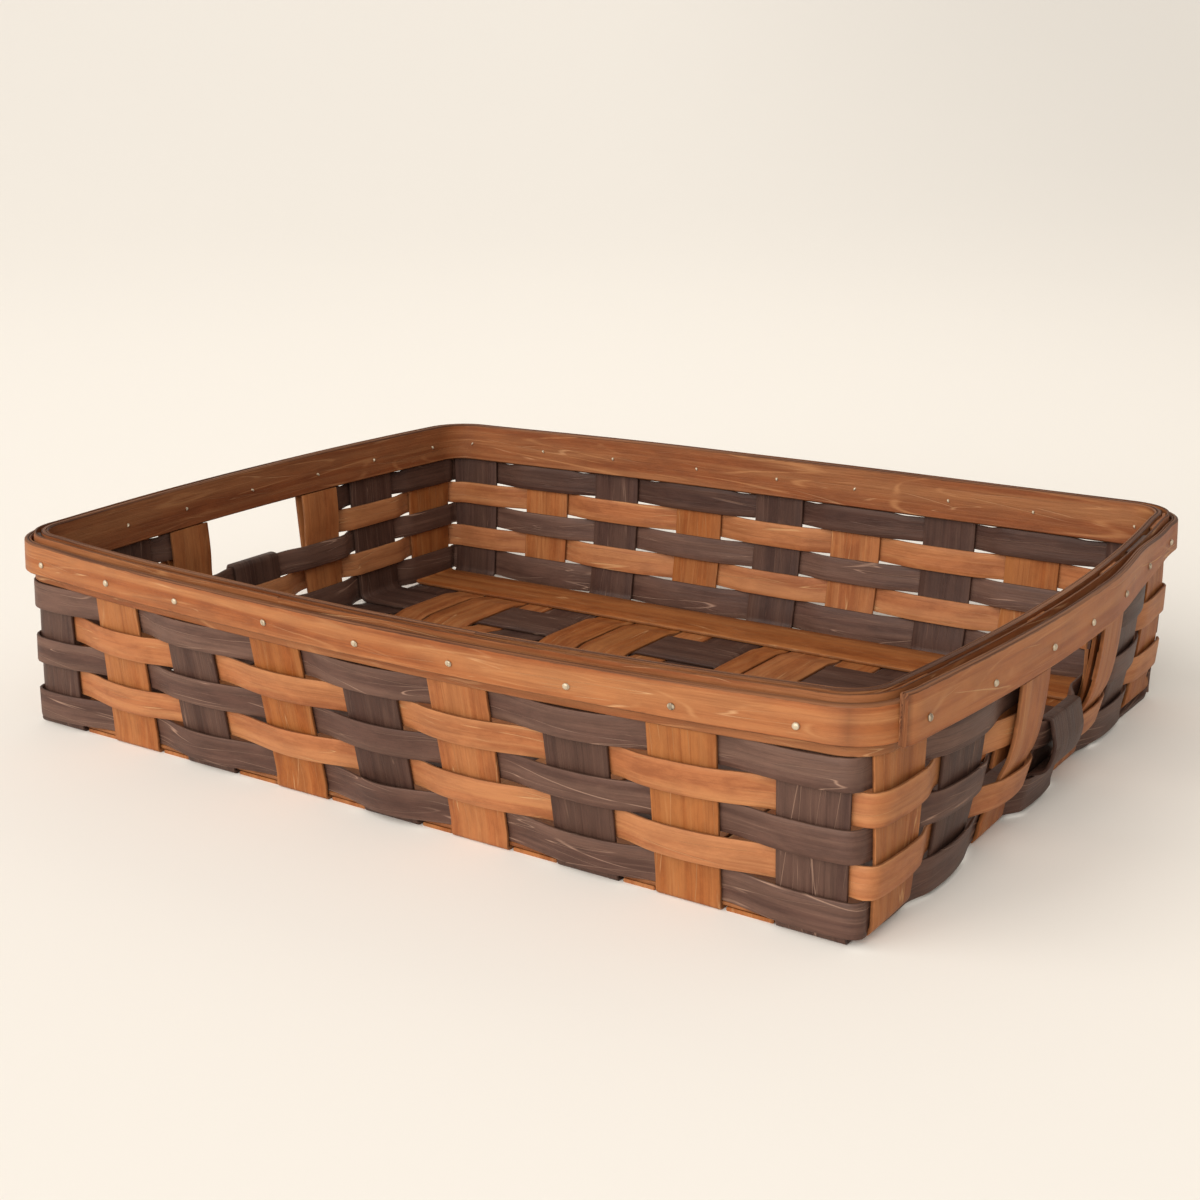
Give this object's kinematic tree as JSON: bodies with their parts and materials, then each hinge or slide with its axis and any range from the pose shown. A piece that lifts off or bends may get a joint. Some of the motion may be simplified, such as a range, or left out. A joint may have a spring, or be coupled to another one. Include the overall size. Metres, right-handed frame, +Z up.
{
  "type": "splint tray",
  "caption": "Shallow rectangular tray woven from flat wood splints, with a nailed wooden rim and a hand hole in each short wall, for carrying and keeping small things.",
  "frame": {"origin": "middle of the woven floor, on its underside, where the tray stands", "axes": "+X along the tray's length, +Y from its front long wall to its back long wall, +Z up"},
  "size_m": [0.4799, 0.3738, 0.0966],
  "materials": {
    "light_splint": "stained orange-brown splint with pale grain streaks, matt",
    "dark_splint": "dark grey-brown stained splint with pale scratches, matt",
    "rim_wood": "stained orange-brown band with broad grain, satin",
    "nail_metal": "small pale nail heads, dulled"
  },
  "bodies": {
    "root": {"crosswise_stake_1": "dark_splint", "crosswise_stake_2": "light_splint", "crosswise_stake_3": "dark_splint", "crosswise_stake_4": "light_splint", "crosswise_stake_5": "dark_splint", "crosswise_stake_6": "light_splint", "crosswise_stake_7": "dark_splint", "crosswise_stake_8": "light_splint", "crosswise_stake_9": "dark_splint", "lengthwise_stake_1": "light_splint", "lengthwise_stake_2": "dark_splint", "lengthwise_stake_3": "light_splint", "lengthwise_stake_4": "dark_splint", "lengthwise_stake_5": "light_splint", "lengthwise_stake_6": "dark_splint", "lengthwise_stake_7": "light_splint", "floor_filler_1": "light_splint", "floor_filler_2": "light_splint", "floor_filler_3": "light_splint", "floor_filler_4": "light_splint", "floor_filler_5": "light_splint", "floor_filler_6": "light_splint", "floor_filler_7": "light_splint", "floor_filler_8": "light_splint", "weaver_course_1": "dark_splint", "weaver_course_2": "light_splint", "weaver_course_3": "dark_splint", "weaver_course_4_front": "light_splint", "weaver_course_4_back": "light_splint", "weaver_course_5_front": "dark_splint", "weaver_course_5_back": "dark_splint", "hole_liner_right_front_outer": "light_splint", "hole_liner_right_front_inner": "light_splint", "hole_liner_right_back_outer": "light_splint", "hole_liner_right_back_inner": "light_splint", "hole_liner_left_front_outer": "light_splint", "hole_liner_left_front_inner": "light_splint", "hole_liner_left_back_outer": "light_splint", "hole_liner_left_back_inner": "light_splint", "rim_inner_band": "rim_wood", "rim_backing_band": "rim_wood", "rim_outer_band": "rim_wood", "rim_nail_front_1": "nail_metal", "rim_nail_front_2": "nail_metal", "rim_nail_front_3": "nail_metal", "rim_nail_front_4": "nail_metal", "rim_nail_front_5": "nail_metal", "rim_nail_front_6": "nail_metal", "rim_nail_front_7": "nail_metal", "rim_nail_front_8": "nail_metal", "rim_nail_front_9": "nail_metal", "rim_nail_back_1": "nail_metal", "rim_nail_back_2": "nail_metal", "rim_nail_back_3": "nail_metal", "rim_nail_back_4": "nail_metal", "rim_nail_back_5": "nail_metal", "rim_nail_back_6": "nail_metal", "rim_nail_back_7": "nail_metal", "rim_nail_back_8": "nail_metal", "rim_nail_back_9": "nail_metal"}
  },
  "joints": []
}
